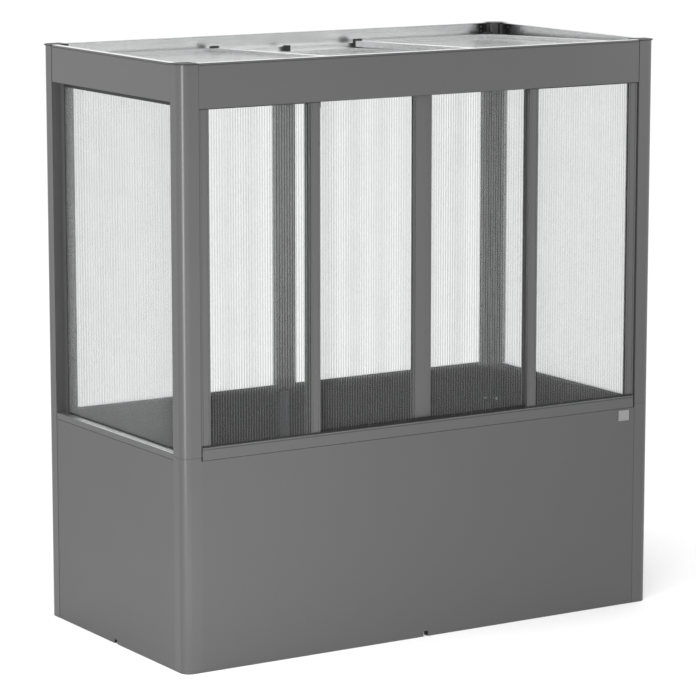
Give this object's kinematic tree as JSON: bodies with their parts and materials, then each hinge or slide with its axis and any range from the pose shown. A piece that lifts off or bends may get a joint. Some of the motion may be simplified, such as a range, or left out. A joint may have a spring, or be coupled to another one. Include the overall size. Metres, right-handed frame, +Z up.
{
  "type": "cold frame",
  "caption": "Free-standing cold frame: a tall metal planter base under a glazed box with sliding front doors and a sliding roof.",
  "frame": {"origin": "on the ground, under the middle of the frame", "axes": "+X along the long side, to the right as seen from the doors; -Y is the side with the doors; +Z up"},
  "size_m": [2.01, 1.026, 2.12],
  "materials": {
    "coated_sheet": "dark grey metallic powder coat, satin",
    "coated_aluminium": "dark grey metallic powder coat, satin",
    "mill_aluminium": "mill finish, drawn along its length",
    "twinwall": "clear twin-wall polycarbonate with upright ribs",
    "black_plastic": "moulded, matt",
    "steel_fasteners": "zinc plated",
    "galvanised_steel": "galvanised",
    "badge_metal": "satin, blank"
  },
  "bodies": {
    "frame": {"base_front_panel": "coated_sheet", "base_back_panel": "coated_sheet", "base_left_panel": "coated_sheet", "base_right_panel": "coated_sheet", "base_post_front_left": "coated_aluminium", "base_post_front_right": "coated_aluminium", "base_post_back_left": "coated_aluminium", "base_post_back_right": "coated_aluminium", "base_spreader": "galvanised_steel", "badge_plate": "badge_metal", "front_sill": "coated_aluminium", "back_sill": "coated_aluminium", "left_sill": "coated_aluminium", "right_sill": "coated_aluminium", "post_front_left": "coated_aluminium", "post_front_right": "coated_aluminium", "post_back_left": "coated_aluminium", "post_back_right": "coated_aluminium", "post_caps": "black_plastic", "front_fascia": "coated_aluminium", "back_fascia": "coated_aluminium", "left_fascia": "coated_aluminium", "right_fascia": "coated_aluminium", "back_mullion": "coated_aluminium", "door_head_track": "mill_aluminium", "corner_brackets": "black_plastic", "frame_bolts": "steel_fasteners", "left_sheet": "twinwall", "right_sheet": "twinwall", "back_left_sheet": "twinwall", "back_right_sheet": "twinwall", "glazing_channels": "coated_aluminium", "roof_front_rail": "mill_aluminium", "roof_back_rail": "mill_aluminium", "track_stops": "black_plastic"},
    "door_1": {"door_1_stiles": "coated_aluminium", "door_1_rails": "coated_aluminium", "door_1_sheet": "twinwall", "door_1_gliders": "black_plastic"},
    "door_2": {"door_2_stiles": "coated_aluminium", "door_2_rails": "coated_aluminium", "door_2_sheet": "twinwall", "door_2_gliders": "black_plastic"},
    "door_3": {"door_3_stiles": "coated_aluminium", "door_3_rails": "coated_aluminium", "door_3_sheet": "twinwall", "door_3_gliders": "black_plastic"},
    "door_4": {"door_4_stiles": "coated_aluminium", "door_4_rails": "coated_aluminium", "door_4_sheet": "twinwall", "door_4_gliders": "black_plastic"},
    "roof_left": {"roof_left_frame": "mill_aluminium", "roof_left_sheet": "twinwall", "roof_left_caps": "black_plastic"},
    "roof_middle": {"roof_middle_frame": "mill_aluminium", "roof_middle_sheet": "twinwall", "roof_middle_caps": "black_plastic"},
    "roof_right": {"roof_right_frame": "mill_aluminium", "roof_right_sheet": "twinwall", "roof_right_caps": "black_plastic"}
  },
  "joints": [
    {"name": "door_1_slide", "type": "slide", "parent": "frame", "child": "door_1", "axis": [1, 0, 0], "range_m": [0, 0.431]},
    {"name": "door_2_slide", "type": "slide", "parent": "frame", "child": "door_2", "axis": [1, 0, 0], "range_m": [-0.44, 0]},
    {"name": "door_3_slide", "type": "slide", "parent": "frame", "child": "door_3", "axis": [1, 0, 0], "range_m": [0, 0.44]},
    {"name": "door_4_slide", "type": "slide", "parent": "frame", "child": "door_4", "axis": [1, 0, 0], "range_m": [-0.431, 0]},
    {"name": "roof_left_slide", "type": "slide", "parent": "frame", "child": "roof_left", "axis": [1, 0, 0], "range_m": [0, 0.29]},
    {"name": "roof_middle_slide", "type": "slide", "parent": "frame", "child": "roof_middle", "axis": [1, 0, 0], "range_m": [-0.61, 0.61]},
    {"name": "roof_right_slide", "type": "slide", "parent": "frame", "child": "roof_right", "axis": [1, 0, 0], "range_m": [-0.29, 0]}
  ]
}
